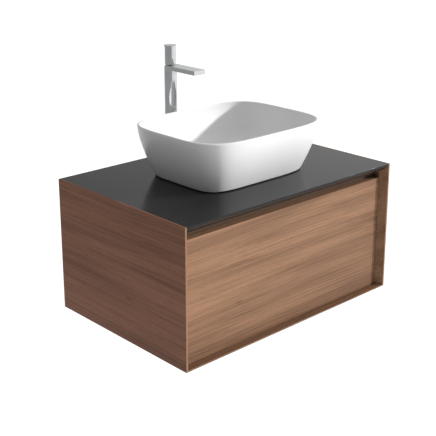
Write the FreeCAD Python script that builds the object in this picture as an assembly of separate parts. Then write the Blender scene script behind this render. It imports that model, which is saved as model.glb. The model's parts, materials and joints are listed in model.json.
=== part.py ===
import FreeCAD, Part
import math
import os

# Wall-hung vanity with one drawer, a vessel basin on its worktop and a tall mixer behind the basin.
# Millimetres.  X is zero at mid-width and runs right, Y is zero at the wall and the front is at -Y,
# and Z is zero at the cabinet's underside while the pieces are made.  Every piece is written
# WALL_SCREW_HEIGHT lower, so that the origin is on the wall between the two wall screws.

# Cabinet
WIDTH = 700.0
DEPTH = 470.0
HEIGHT = 340.0
PANEL = 18.0                 # side panels
TOP = 18.0                   # worktop
BOTTOM = 18.0                # bottom panel
RAIL = 16.0                  # rear rails
EDGE = 5.0                   # thin edge that the side panels and the worktop show
LIP = 4.0                    # bottom panel's thin front edge, under the drawer front
RECESS = 19.0                # drawer front behind the cabinet's front plane
FINGER_GAP = 20.0            # worktop's underside to the drawer front's top edge
FRONT_RAIL_HEIGHT = 50.0
HANGING_RAIL_HEIGHT = HEIGHT * 6 / 17
LOWER_RAIL_HEIGHT = HEIGHT * 4 / 17
DOWEL_RADIUS = 4.0
DOWEL_IN_SIDE = 12.0
DOWEL_IN_RAIL = 18.0
BOTTOM_DOWELS = (0.13, 0.45, 0.8)  # places along the depth, as shares of it
RAIL_DOWELS = (0.25, 0.75)   # places up a rail, as shares of its height
HANGING_DOWELS = (0.3, 0.68)  # places from the hanging rail's lower edge up to its notch for the plate

# Hanging gear
HANGER_WIDTH = 24.0
HANGER_LENGTH = 50.0
HANGER_HEIGHT = 32.0
WALL_PLATE = 3.0
WALL_PLATE_WIDTH = 22.0
WALL_PLATE_GAP = 3.0         # wall plate to side panel
PLATE_BELOW_SCREW = 18.0
PLATE_ROOM = 4.0             # hanging rail round the wall plate
HANGER_GAP = 4.0             # hanger below the worktop
HANGER_WELL_RADIUS = 5.0
HANGER_WELL_DEPTH = 12.0
HOOK_HEIGHT = 4.0
HOOK_WIDTH = 16.0
WALL_SCREW_RADIUS = 3.25
WALL_SCREW_BELOW_TOP = HANGING_RAIL_HEIGHT * 8 / 15  # below the worktop's underside

# Drawer
FRONT = 18.0                 # drawer front
FRONT_GAP = 1.2              # round the drawer front
DRAWER_SIDE = 15.0
DRAWER_WALL = 12.0           # backs, bottom and the walls round the trap
DRAWER_REAR_GAP = 33.0       # drawer to wall
DRAWER_TOP_GAP = 44.0        # drawer's sides below the front rail
DRAWER_ABOVE_BOTTOM = 10.0
DRAWER_BOTTOM_UP = 8.0       # drawer bottom above the sides' lower edge
TRAP_SPACE = 75.0            # trap axis to the drawer's walls round it
DRAWER_DOWEL_IN_FRONT = 12.0
DRAWER_DOWEL_IN_SIDE = 15.0
DRAWER_DOWELS = (0.15, 0.5, 0.85)  # places up the drawer, as shares of its height

# Runners
RUNNER_SPACE = 13.0          # side panel to drawer side
RUNNER_HEIGHT = 45.0
RUNNER_SHEET = 1.2
RUNNER_PLAY = 1.6            # one member inside the next, where the balls run
RUNNER_WEB_GAP = 2.2
RUNNER_WEB_PLAY = 0.9
RUNNER_OPEN_GAP = 2.0        # open edges to the drawer side
RUNNER_END_GAP = 2.0
RUNNER_UP = 62.0             # runner's middle above the drawer's underside
RUNNER_SCREWS = (0.1, 0.5, 0.9)  # places along the runner, as shares of its length
SCREW_RADIUS = 1.8
SCREW_HEAD_RADIUS = 3.2
SCREW_HEAD = 1.4
SCREW_LENGTH = 11.0

# Basin
BASIN_LENGTH = 412.0
BASIN_MARGIN = 70.0          # rim to the cabinet's front and back
BASIN_WIDTH = DEPTH - 2 * BASIN_MARGIN
BASE_LENGTH = BASIN_LENGTH - 80.0
BASE_WIDTH = BASIN_WIDTH - 86.0
BASIN_HEIGHT = 128.0
BASIN_WALL = 7.0
BASIN_FLOOR = 14.0
FLOOR_CURVE = 42.0           # radius where the wall turns into the floor
RIM_POWER = 4.3              # outlines are superellipses, squarer with a higher power
FOOT_POWER = 5.6
FLOOR_POWER = 3.0
WALL_POWER = 1.42            # above one, the walls bulge outwards
OUTLINE_POINTS = 48
WALL_RINGS = (0.0, 0.1, 0.22, 0.36, 0.52, 0.68, 0.84, 1.0)  # shares of the basin's height
FLOOR_RINGS = (0.0, 0.04, 0.14, 0.3, 0.6, 1.0, 1.5, 2.1)    # shares of the floor curve's radius
SEAL = 2.0
SEAL_INSET = 4.0
SEAL_BAND = 8.0

# Waste and trap
WASTE_OUTER = 21.0
WASTE_HOLE = WASTE_OUTER + 2.0
WASTE_INNER = WASTE_OUTER - 2.5
WASTE_SHOULDER = WASTE_INNER - 1.5
WASTE_FLANGE = WASTE_OUTER + 11.0
WASTE_FLANGE_HEIGHT = 3.0
WASTE_BELOW_TOP = 60.0       # waste body below the worktop's underside
LEDGE_BELOW_TOP = 10.0       # guide's ledge below the worktop's top face
GASKET = 2.0
UPPER_GASKET_INSET = 1.0
LOWER_GASKET_INSET = 2.0
WASTE_NUT_RADIUS = WASTE_OUTER + 11.0
WASTE_NUT_HEIGHT = 12.0
THREAD_PLAY = 0.2
PLUG_RADIUS = WASTE_FLANGE - 3.0
PLUG_HEIGHT = 4.5
PLUG_REST_GAP = 0.4
STEM_RADIUS = 5.0
RUNNING_PLAY = 0.05
STEM_BELOW_BOSS = 10.0
GUIDE_HEIGHT = 6.0
BOSS_RADIUS = 9.0
BOSS_HALF = 12.0
DRAIN_RADIUS = 0.37 * (WASTE_INNER - BOSS_RADIUS)
DRAIN_CIRCLE = (WASTE_INNER + BOSS_RADIUS) / 2
PIPE_OUTER = 16.0
PIPE_INNER = PIPE_OUTER - 1.5
SPIGOT_OUTER = PIPE_OUTER - 0.25
SPIGOT_LENGTH = 35.0
COLLAR = 4.0
COLLAR_INSET = 0.5
DIP = 60.0                   # tailpiece's end below the outlet
NUT_LIP = 6.0
NUT_WALL = 5.0
COUPLING_THREAD = 12.0       # waste body inside its coupling nut
TRAP_RADIUS = PIPE_OUTER + 14.0
TRAP_WALL = 3.0
TRAP_BELOW_OUTLET = 38.0
TRAP_ABOVE_OUTLET = 27.0
TRAP_ROOF = 5.0
NECK_RADIUS = PIPE_OUTER + 6.0
NECK_HEIGHT = 10.5
STUB_RADIUS = PIPE_OUTER + 4.0
STUB_LENGTH = 15.0           # trap body to the socket's shoulder
STUB_SOCKET = 12.0
STUB_THREAD = 9.0            # stub inside its nut
INLET_NUT_GAP = 0.5          # neck's end to the inlet nut's lip
BORE_OVERLAP = 1.0           # outlet bore starts inside the trap's own bore
CUP_THREAD = 14.0
CUP_ROUND = 12.0
CUP_FLOOR = 12.0
CUP_CLEARANCE = 27.0         # trap cup above the bottom panel
ESCUTCHEON_RADIUS = PIPE_OUTER + 19.0
ESCUTCHEON = 2.0
ESCUTCHEON_COLLAR = 9.0

# Mixer
TAP_OFFSET = -13.0           # tap axis left of the middle
TAP_FROM_WALL = 30.0
COLUMN_RADIUS = 17.0
COLUMN_HEIGHT = 224.0
BAND_HEIGHT = 16.0
BASE_RING_RADIUS = COLUMN_RADIUS + 5.0
BASE_RING_HEIGHT = 4.0
BAR_WIDTH = 2 * COLUMN_RADIUS + 3.0
BAR_THICKNESS = 11.0
BAR_REACH = 113.0
BAR_ABOVE_BAND = 4.0
BAR_WALL = 2.5
WATERWAY_HALF = 8.0
AERATOR_RADIUS = 9.0
AERATOR_FROM_TIP = 15.0
AERATOR_HEIGHT = 2.0
AERATOR_LEDGE = 1.5
AERATOR_PLAY = 0.1
AERATOR_RINGS = ((2.5, 6), (5.5, 13))  # radius of each ring of holes and their number
AERATOR_HOLE = 0.6
HANDLE_RADIUS = COLUMN_RADIUS - 2.0
HANDLE_GAP = 3.8             # band to handle, room for the tilt
HANDLE_TOP = 295.0
CAP_RADIUS = COLUMN_RADIUS - 0.2
CAP_HEIGHT = 3.0
CAP_CHAMFER = 0.8
CAP_SPIGOT = 5.0
CAP_SPIGOT_RADIUS = 6.0
CAP_PLAY = 0.2
KNOB_WALL = 4.0
KNOB_CAVITY = 14.0
COLUMN_WALL = 5.0
CARTRIDGE_RADIUS = COLUMN_RADIUS - 3.5
CARTRIDGE_HEIGHT = 40.0
CARTRIDGE_NUT = 6.0
CARTRIDGE_BELOW_BAND = 10.0  # cartridge's top below the band's top edge
CARTRIDGE_PLAY = 0.1
SWIVEL_SHARE = 0.6           # of the cartridge's height that the swivel reaches into
SWIVEL_END_GAP = 0.5
SWIVEL_PLAY = 0.6
SWIVEL_RADIUS = 7.0
EAR_ABOVE_PIVOT = 5.0
EAR_HALF_Y = 3.0
EAR_INSET = 1.0
SLOT_PLAY = 0.3
SLOT_BELOW_PIVOT = 7.5
STEM_BELOW_BAND = 1.0
LEVER_HALF_X = 3.0
LEVER_HALF_Y = 4.0
LEVER_BOSS = 5.0
LEVER_BOSS_LENGTH = 18.0
LEVER_OVERLAP = 4.0
GRUB_UP = 8.0                # above the knob's cavity
GRUB_SUNK = 1.0
PIN_RADIUS = 2.0
PRESS = 0.02
SHANK_RADIUS = COLUMN_RADIUS - 1.0
TAP_HOLE = SHANK_RADIUS + 1.5
SHANK_BELOW_TOP = 42.0       # shank below the worktop's underside
TAP_NUT_RADIUS = SHANK_RADIUS + 8.0
TAP_NUT_HEIGHT = 12.0
TAP_RUBBER = 3.0
TAP_STEEL = 2.0
RUBBER_OVERHANG = 1.0
TAP_NOTCH_ROOM = 8.0         # hanging rail round the tap's nut
SHANK_ROOM = 12.0            # hanging rail below the shank's end
INLET_RADIUS = 4.5
INLET_DEPTH = 12.0
INLET_SPACING = 15.0

FLAT_EDGE = 0.01             # an edge that rises less than this is level

# Places that several pieces share
HALF_INSIDE = WIDTH / 2 - PANEL
TOP_UNDER = HEIGHT - TOP
MITRE = PANEL - EDGE
WALL_SCREW_HEIGHT = TOP_UNDER - WALL_SCREW_BELOW_TOP
WALL_SCREW_X = HALF_INSIDE - WALL_PLATE_GAP - WALL_PLATE_WIDTH / 2
PLATE_UNDER = WALL_SCREW_HEIGHT - PLATE_BELOW_SCREW
HANGING_RAIL_UNDER = TOP_UNDER - HANGING_RAIL_HEIGHT
LOWER_RAIL_TOP = BOTTOM + LOWER_RAIL_HEIGHT
OUTLET_HEIGHT = (HANGING_RAIL_UNDER + LOWER_RAIL_TOP) / 2
HANGER_TOP = TOP_UNDER - HANGER_GAP
FRONT_FACE = RECESS - DEPTH
FRONT_BACK = FRONT_FACE + FRONT
RAIL_FRONT = FRONT_BACK + FRONT_GAP
FRONT_TOP = TOP_UNDER - FINGER_GAP
DRAWER_HALF = HALF_INSIDE - RUNNER_SPACE
DRAWER_INSIDE = DRAWER_HALF - DRAWER_SIDE
DRAWER_UNDER = BOTTOM + DRAWER_ABOVE_BOTTOM
DRAWER_TOP = TOP_UNDER - FRONT_RAIL_HEIGHT - DRAWER_TOP_GAP
DRAWER_FLOOR = DRAWER_UNDER + DRAWER_BOTTOM_UP + DRAWER_WALL
DRAWER_REAR = -DRAWER_REAR_GAP
RUNNER_MIDDLE = DRAWER_UNDER + RUNNER_UP
RUNNER_FRONT = FRONT_BACK + RUNNER_END_GAP
RUNNER_REAR = DRAWER_REAR
DRAWER_WEB = DRAWER_HALF + RUNNER_SHEET
BASIN_Y = -DEPTH / 2
BASIN_UNDER = HEIGHT + SEAL
BASIN_FLOOR_Z = BASIN_UNDER + BASIN_FLOOR
FLANGE_UNDER = BASIN_FLOOR_Z + GASKET
FLANGE_TOP = FLANGE_UNDER + WASTE_FLANGE_HEIGHT
WASTE_END = TOP_UNDER - WASTE_BELOW_TOP
WASTE_LEDGE = HEIGHT - LEDGE_BELOW_TOP
TAP_X = TAP_OFFSET
TAP_Y = -TAP_FROM_WALL
BAND_TOP = HEIGHT + COLUMN_HEIGHT + BAND_HEIGHT
BAND_UNDER = HEIGHT + COLUMN_HEIGHT
PIVOT_Z = BAND_TOP + HANDLE_GAP
KNOB_TOP = HEIGHT + HANDLE_TOP - CAP_HEIGHT
BAR_TOP = BAND_TOP + BAR_ABOVE_BAND
BAR_UNDER = BAR_TOP - BAR_THICKNESS
BAR_TIP = TAP_Y - BAR_REACH
CARTRIDGE_TOP = BAND_TOP - CARTRIDGE_BELOW_BAND
CARTRIDGE_UNDER = CARTRIDGE_TOP - CARTRIDGE_HEIGHT
SWIVEL_SEAT = CARTRIDGE_TOP - CARTRIDGE_HEIGHT * SWIVEL_SHARE
SHANK_END = TOP_UNDER - SHANK_BELOW_TOP


def point(x, y, z):
    return FreeCAD.Vector(x, y, z)


def box(x0, x1, y0, y1, z0, z1):
    return Part.makeBox(x1 - x0, y1 - y0, z1 - z0, point(x0, y0, z0))


def rod(radius, start, end):
    span = end.sub(start)
    return Part.makeCylinder(radius, span.Length, start, span)


def post(radius, x, y, z0, z1):
    return rod(radius, point(x, y, z0), point(x, y, z1))


def tube(outer, inner, x, y, z0, z1):
    return post(outer, x, y, z0, z1).cut(post(inner, x, y, z0, z1))


def prism(corners, sweep):
    """Solid swept along a vector from a closed polygon of corners."""
    outline = Part.makePolygon(corners + [corners[0]])
    return Part.Face(outline).extrude(sweep)


def hexagon(across_corners, x, y, z0, z1):
    corners = []
    for side in range(6):
        turn = math.radians(60 * side + 30)
        corners.append(point(x + across_corners * math.cos(turn), y + across_corners * math.sin(turn), z0))
    return prism(corners, point(0, 0, z1 - z0))


def mirrored(shape):
    return shape.mirror(point(0, 0, 0), point(1, 0, 0))


def both_sides(shapes):
    return Part.makeCompound(shapes + [mirrored(shape) for shape in shapes])


def cut_all(shape, tools):
    for tool in tools:
        shape = shape.cut(tool)
    return shape


# ---------------------------------------------------------------- cabinet

def dowel_places():
    """Y and Z of the dowels that join each side panel to the rails and the bottom panel."""
    places = [(-DEPTH * share, BOTTOM / 2) for share in BOTTOM_DOWELS]
    rear = -RAIL / 2
    below_notch = PLATE_UNDER - PLATE_ROOM - HANGING_RAIL_UNDER
    places += [(rear, HANGING_RAIL_UNDER + below_notch * share) for share in HANGING_DOWELS]
    places += [(rear, BOTTOM + LOWER_RAIL_HEIGHT * share) for share in RAIL_DOWELS]
    front = RAIL_FRONT + PANEL / 2
    places += [(front, TOP_UNDER - FRONT_RAIL_HEIGHT * share) for share in RAIL_DOWELS]
    return places


def carcass_dowels(play):
    inner = HALF_INSIDE - DOWEL_IN_RAIL
    outer = HALF_INSIDE + DOWEL_IN_SIDE
    return both_sides([rod(DOWEL_RADIUS + play, point(inner, y, z), point(outer, y, z))
                       for y, z in dowel_places()])


def runner_screw_ys():
    length = RUNNER_REAR - RUNNER_FRONT
    return [RUNNER_FRONT + length * share for share in RUNNER_SCREWS]


def runner_screws(head_x, direction, play):
    """Screws of the right-hand runner, their heads' undersides at head_x, pointing along X."""
    screws = []
    for y in runner_screw_ys():
        under_head = point(head_x, y, RUNNER_MIDDLE)
        tip = point(head_x + direction * SCREW_LENGTH, y, RUNNER_MIDDLE)
        crown = point(head_x - direction * SCREW_HEAD, y, RUNNER_MIDDLE)
        shank = rod(SCREW_RADIUS + play, under_head, tip)
        if play:
            screws.append(shank)
        else:
            screws.append(shank.fuse(rod(SCREW_HEAD_RADIUS, crown, under_head)))
    return screws


def cabinet_screws(play):
    return both_sides(runner_screws(HALF_INSIDE - RUNNER_SHEET, 1, play))


def side_panel():
    """Right-hand side panel: flared at the front and mitred at the top, to a thin edge."""
    outside = WIDTH / 2
    thin = outside - EDGE
    corners = [point(outside, 0, 0), point(HALF_INSIDE, 0, 0), point(HALF_INSIDE, FRONT_FACE, 0)]
    corners += [point(thin, -DEPTH, 0), point(outside, -DEPTH, 0)]
    panel = prism(corners, point(0, 0, HEIGHT))
    mitre = [point(thin, 0, HEIGHT), point(HALF_INSIDE, 0, HEIGHT - MITRE), point(HALF_INSIDE, 0, HEIGHT)]
    return panel.cut(prism(mitre, point(0, -DEPTH, 0)))


def across(profile):
    """Panel of the full width swept from a Y-Z profile, fitted between the side panels."""
    corners = [point(-WIDTH / 2, y, z) for y, z in profile]
    panel = prism(corners, point(WIDTH, 0, 0))
    side = side_panel()
    return cut_all(panel, [side, mirrored(side)])


def worktop():
    bevel = TOP - EDGE
    profile = [(0, TOP_UNDER), (0, HEIGHT), (-DEPTH, HEIGHT), (-DEPTH, HEIGHT - EDGE)]
    profile += [(-DEPTH + bevel, TOP_UNDER)]
    waste_hole = post(WASTE_HOLE, 0, BASIN_Y, TOP_UNDER, HEIGHT)
    tap_hole = post(TAP_HOLE, TAP_X, TAP_Y, TOP_UNDER, HEIGHT)
    return cut_all(across(profile), [waste_hole, tap_hole])


def bottom_panel():
    profile = [(0, 0), (0, BOTTOM), (RAIL_FRONT, BOTTOM), (RAIL_FRONT, LIP), (-DEPTH, LIP), (-DEPTH, 0)]
    return across(profile)


def hanging_rail():
    rail = box(-HALF_INSIDE, HALF_INSIDE, -RAIL, 0, HANGING_RAIL_UNDER, TOP_UNDER)
    half_notch = TAP_NUT_RADIUS + TAP_NOTCH_ROOM
    tap_notch = box(TAP_X - half_notch, TAP_X + half_notch, -RAIL, 0, SHANK_END - SHANK_ROOM, TOP_UNDER)
    corner = box(WALL_SCREW_X - WALL_PLATE_WIDTH / 2 - PLATE_ROOM, HALF_INSIDE, -RAIL, 0,
                 PLATE_UNDER - PLATE_ROOM, TOP_UNDER)
    return cut_all(rail, [tap_notch, corner, mirrored(corner)])


def wall_plate():
    """Right-hand wall plate, a steel strip screwed to the wall."""
    plate = box(WALL_SCREW_X - WALL_PLATE_WIDTH / 2, WALL_SCREW_X + WALL_PLATE_WIDTH / 2,
                -WALL_PLATE, 0, PLATE_UNDER, HANGER_TOP - HOOK_HEIGHT)
    hole = rod(WALL_SCREW_RADIUS, point(WALL_SCREW_X, -WALL_PLATE, WALL_SCREW_HEIGHT),
               point(WALL_SCREW_X, 0, WALL_SCREW_HEIGHT))
    return plate.cut(hole)


def cabinet_hanger():
    """Right-hand hanger: a housing on the side panel, with a hook over the wall plate."""
    front = -WALL_PLATE - HANGER_LENGTH
    body = box(HALF_INSIDE - HANGER_WIDTH, HALF_INSIDE, front, -WALL_PLATE,
               HANGER_TOP - HANGER_HEIGHT, HANGER_TOP)
    middle = HANGER_TOP - HANGER_HEIGHT / 2
    screw_well = rod(HANGER_WELL_RADIUS, point(WALL_SCREW_X, front, middle),
                     point(WALL_SCREW_X, front + HANGER_WELL_DEPTH, middle))
    hook = box(WALL_SCREW_X - HOOK_WIDTH / 2, WALL_SCREW_X + HOOK_WIDTH / 2, -WALL_PLATE, 0,
               HANGER_TOP - HOOK_HEIGHT, HANGER_TOP)
    return body.cut(screw_well).fuse(hook)


def cabinet():
    dowel_holes = carcass_dowels(RUNNING_PLAY)
    screw_holes = cabinet_screws(RUNNING_PLAY)
    side = side_panel()
    pieces = {
        "side_panel_right": cut_all(side, [dowel_holes, screw_holes]),
        "side_panel_left": cut_all(mirrored(side), [dowel_holes, screw_holes]),
        "bottom_panel": bottom_panel().cut(dowel_holes),
        "worktop": worktop(),
        "hanging_rail": hanging_rail().cut(dowel_holes),
    }
    front_rail = box(-HALF_INSIDE, HALF_INSIDE, RAIL_FRONT, RAIL_FRONT + PANEL,
                     TOP_UNDER - FRONT_RAIL_HEIGHT, TOP_UNDER)
    lower_rail = box(-HALF_INSIDE, HALF_INSIDE, -RAIL, 0, BOTTOM, LOWER_RAIL_TOP)
    pieces["front_rail"] = front_rail.cut(dowel_holes)
    pieces["lower_rail"] = lower_rail.cut(dowel_holes)
    pieces["carcass_dowels"] = carcass_dowels(0)
    pieces["wall_plates"] = both_sides([wall_plate()])
    pieces["cabinet_hangers"] = both_sides([cabinet_hanger()])
    return pieces


# ---------------------------------------------------------------- runners

def channel(web_x, open_x, half_height, y0, y1):
    """C-shaped runner member along Y, from its web to its open side."""
    low = min(web_x, open_x)
    high = max(web_x, open_x)
    blank = box(low, high, y0, y1, RUNNER_MIDDLE - half_height, RUNNER_MIDDLE + half_height)
    inward = math.copysign(RUNNER_SHEET, open_x - web_x)
    edges = sorted((web_x + inward, open_x))
    inside = half_height - RUNNER_SHEET
    hollow = box(edges[0], edges[1], y0, y1, RUNNER_MIDDLE - inside, RUNNER_MIDDLE + inside)
    return blank.cut(hollow)


def runners():
    outer_half = RUNNER_HEIGHT / 2
    middle_half = outer_half - RUNNER_SHEET - RUNNER_PLAY
    inner_half = middle_half - RUNNER_SHEET - RUNNER_PLAY
    open_x = DRAWER_HALF + RUNNER_OPEN_GAP
    middle_web = HALF_INSIDE - RUNNER_SHEET - RUNNER_WEB_GAP
    inner_end = middle_web - RUNNER_SHEET - RUNNER_WEB_PLAY
    outer = channel(HALF_INSIDE, open_x, outer_half, RUNNER_FRONT, RUNNER_REAR)
    middle = channel(middle_web, open_x, middle_half, RUNNER_FRONT, RUNNER_REAR)
    inner = channel(DRAWER_HALF, inner_end, inner_half, RUNNER_FRONT, RUNNER_REAR)
    outer = cut_all(outer, runner_screws(HALF_INSIDE - RUNNER_SHEET, 1, RUNNING_PLAY))
    inner = cut_all(inner, runner_screws(DRAWER_WEB, -1, RUNNING_PLAY))
    pieces = {"runner_screws": cabinet_screws(0)}
    pieces["drawer_runner_screws"] = both_sides(runner_screws(DRAWER_WEB, -1, 0))
    for name, member in (("cabinet", outer), ("middle", middle), ("drawer", inner)):
        pieces["runner_" + name + "_right"] = member
        pieces["runner_" + name + "_left"] = mirrored(member)
    return pieces


# ---------------------------------------------------------------- drawer

def drawer_dowels(play):
    middle = DRAWER_HALF - DRAWER_SIDE / 2
    dowels = []
    for share in DRAWER_DOWELS:
        z = DRAWER_UNDER + (DRAWER_TOP - DRAWER_UNDER) * share
        start = point(middle, FRONT_BACK - DRAWER_DOWEL_IN_FRONT, z)
        end = point(middle, FRONT_BACK + DRAWER_DOWEL_IN_SIDE, z)
        dowels.append(rod(DOWEL_RADIUS + play, start, end))
    return both_sides(dowels)


def drawer():
    dowel_holes = drawer_dowels(RUNNING_PLAY)
    screw_holes = both_sides(runner_screws(DRAWER_WEB, -1, RUNNING_PLAY))
    half_front = HALF_INSIDE - FRONT_GAP
    front = box(-half_front, half_front, FRONT_FACE, FRONT_BACK, LIP + FRONT_GAP, FRONT_TOP)
    side = box(DRAWER_INSIDE, DRAWER_HALF, FRONT_BACK, DRAWER_REAR, DRAWER_UNDER, DRAWER_TOP)
    floor_under = DRAWER_FLOOR - DRAWER_WALL
    recess_front = BASIN_Y - TRAP_SPACE
    base = box(-DRAWER_INSIDE, DRAWER_INSIDE, FRONT_BACK, DRAWER_REAR, floor_under, DRAWER_FLOOR)
    trap_cut = box(-TRAP_SPACE, TRAP_SPACE, recess_front, DRAWER_REAR, floor_under, DRAWER_FLOOR)
    recess_outside = TRAP_SPACE + DRAWER_WALL
    recess_side = box(TRAP_SPACE, recess_outside, recess_front, DRAWER_REAR, DRAWER_FLOOR, DRAWER_TOP)
    recess_end = box(-recess_outside, recess_outside, recess_front - DRAWER_WALL, recess_front,
                     DRAWER_FLOOR, DRAWER_TOP)
    back = box(recess_outside, DRAWER_INSIDE, DRAWER_REAR - DRAWER_WALL, DRAWER_REAR,
               DRAWER_FLOOR, DRAWER_TOP)
    side = cut_all(side, [dowel_holes, screw_holes])
    return {
        "drawer_front": front.cut(dowel_holes),
        "drawer_side_right": side,
        "drawer_side_left": mirrored(side),
        "drawer_bottom": base.cut(trap_cut),
        "drawer_recess_right": recess_side,
        "drawer_recess_left": mirrored(recess_side),
        "drawer_recess_front": recess_end,
        "drawer_back_right": back,
        "drawer_back_left": mirrored(back),
        "drawer_dowels": drawer_dowels(0),
    }


# ---------------------------------------------------------------- basin

def rounded_outline(half_x, half_y, power, z):
    """Closed rounded rectangle, a superellipse, round the basin's axis."""
    points = []
    for step in range(OUTLINE_POINTS):
        turn = 2 * math.pi * step / OUTLINE_POINTS
        across_x = abs(math.cos(turn) / half_x) ** power
        across_y = abs(math.sin(turn) / half_y) ** power
        radius = (across_x + across_y) ** (-1 / power)
        points.append(point(radius * math.cos(turn), BASIN_Y + radius * math.sin(turn), z))
    curve = Part.BSplineCurve()
    curve.interpolate(Points=points, PeriodicFlag=True)
    return Part.Wire(curve.toShape())


def basin_outside(height):
    """Half length, half width and power of the basin's outside at a height above its base."""
    risen = height / BASIN_HEIGHT
    share = 1 - (1 - risen) ** WALL_POWER
    half_x = BASE_LENGTH / 2 + (BASIN_LENGTH - BASE_LENGTH) / 2 * share
    half_y = BASE_WIDTH / 2 + (BASIN_WIDTH - BASE_WIDTH) / 2 * share
    return half_x, half_y, FOOT_POWER + (RIM_POWER - FOOT_POWER) * risen


def basin_bowl():
    """The basin's inside: a flat floor that curves up into walls of even thickness."""
    rings = []
    deep = BASIN_HEIGHT - BASIN_FLOOR
    for ring in FLOOR_RINGS:
        height = BASIN_FLOOR + min(ring * FLOOR_CURVE, deep)
        left = max(0.0, 1.0 - ring)
        inset = BASIN_WALL + FLOOR_CURVE * (1.0 - math.sqrt(1.0 - left ** 2))
        half_x, half_y, outside_power = basin_outside(height)
        power = FLOOR_POWER + (outside_power - FLOOR_POWER) * min(ring, 1.0)
        rings.append(rounded_outline(half_x - inset, half_y - inset, power, BASIN_UNDER + height))
    half_x, half_y, power = basin_outside(BASIN_HEIGHT)
    rings.append(rounded_outline(half_x - BASIN_WALL, half_y - BASIN_WALL, power,
                                 BASIN_UNDER + BASIN_HEIGHT))
    return Part.makeLoft(rings, True, False)


def vessel_basin():
    outside = []
    for ring in WALL_RINGS:
        half_x, half_y, power = basin_outside(BASIN_HEIGHT * ring)
        outside.append(rounded_outline(half_x, half_y, power, BASIN_UNDER + BASIN_HEIGHT * ring))
    body = Part.makeLoft(outside, True, False)
    hole = post(WASTE_HOLE, 0, BASIN_Y, BASIN_UNDER, BASIN_FLOOR_Z)
    return cut_all(body, [basin_bowl(), hole])


def basin_seal():
    outer_x = BASE_LENGTH / 2 - SEAL_INSET
    outer_y = BASE_WIDTH / 2 - SEAL_INSET
    outer = rounded_outline(outer_x, outer_y, FOOT_POWER, HEIGHT)
    inner = rounded_outline(outer_x - SEAL_BAND, outer_y - SEAL_BAND, FOOT_POWER, HEIGHT)
    rise = point(0, 0, SEAL)
    return Part.Face(outer).extrude(rise).cut(Part.Face(inner).extrude(rise))


# ---------------------------------------------------------------- waste and trap

def waste():
    axis = (0, BASIN_Y)
    body = post(WASTE_OUTER, *axis, WASTE_END, FLANGE_UNDER)
    body = body.fuse(post(WASTE_FLANGE, *axis, FLANGE_UNDER, FLANGE_TOP))
    body = body.cut(post(WASTE_INNER, *axis, WASTE_LEDGE, FLANGE_TOP))
    body = body.cut(post(WASTE_SHOULDER, *axis, WASTE_END, WASTE_LEDGE))
    lower_gasket_under = TOP_UNDER - 2 * GASKET
    nut_under = lower_gasket_under - WASTE_NUT_HEIGHT
    nut = hexagon(WASTE_NUT_RADIUS, *axis, nut_under, lower_gasket_under)
    guide = post(WASTE_INNER - RUNNING_PLAY, *axis, WASTE_LEDGE, WASTE_LEDGE + GUIDE_HEIGHT)
    boss_under = WASTE_LEDGE - BOSS_HALF
    boss_top = WASTE_LEDGE + BOSS_HALF
    guide = guide.fuse(post(BOSS_RADIUS, *axis, boss_under, boss_top))
    guide = guide.cut(post(STEM_RADIUS + RUNNING_PLAY, *axis, boss_under, boss_top))
    for quarter in range(4):
        turn = math.radians(90 * quarter + 45)
        drain_x = DRAIN_CIRCLE * math.cos(turn)
        drain_y = BASIN_Y + DRAIN_CIRCLE * math.sin(turn)
        guide = guide.cut(post(DRAIN_RADIUS, drain_x, drain_y, WASTE_LEDGE, WASTE_LEDGE + GUIDE_HEIGHT))
    plug_under = FLANGE_TOP + PLUG_REST_GAP
    plug = post(PLUG_RADIUS, *axis, plug_under, plug_under + PLUG_HEIGHT)
    crown = [edge for edge in plug.Edges if edge.BoundBox.ZMin > plug_under + PLUG_HEIGHT / 2]
    plug = plug.makeFillet(PLUG_HEIGHT / 2, [edge for edge in crown if edge.BoundBox.ZLength < FLAT_EDGE])
    plug = plug.fuse(post(STEM_RADIUS, *axis, boss_under - STEM_BELOW_BOSS, plug_under))
    return {
        "waste_body": body,
        "waste_upper_gasket": tube(WASTE_FLANGE - UPPER_GASKET_INSET, WASTE_HOLE, *axis,
                                   BASIN_FLOOR_Z, FLANGE_UNDER),
        "waste_lower_gasket": tube(WASTE_NUT_RADIUS - LOWER_GASKET_INSET, WASTE_OUTER + THREAD_PLAY, *axis,
                                   lower_gasket_under, TOP_UNDER),
        "waste_nut": nut.cut(post(WASTE_OUTER + THREAD_PLAY, *axis, nut_under, lower_gasket_under)),
        "plug_guide": guide,
        "waste_plug": plug,
    }


def slip_nut(radius, thread, lip_end, open_end):
    """Round nut whose lip, at lip_end, closes on the pipe and whose thread opens at open_end."""
    along = open_end.sub(lip_end)
    direction = along.normalize()
    lip_inside = lip_end.add(direction.multiply(NUT_LIP))
    nut = rod(radius, lip_end, open_end)
    nut = nut.cut(rod(thread + THREAD_PLAY, lip_inside, open_end))
    return nut.cut(rod(PIPE_OUTER + THREAD_PLAY, lip_end, lip_inside))


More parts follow.
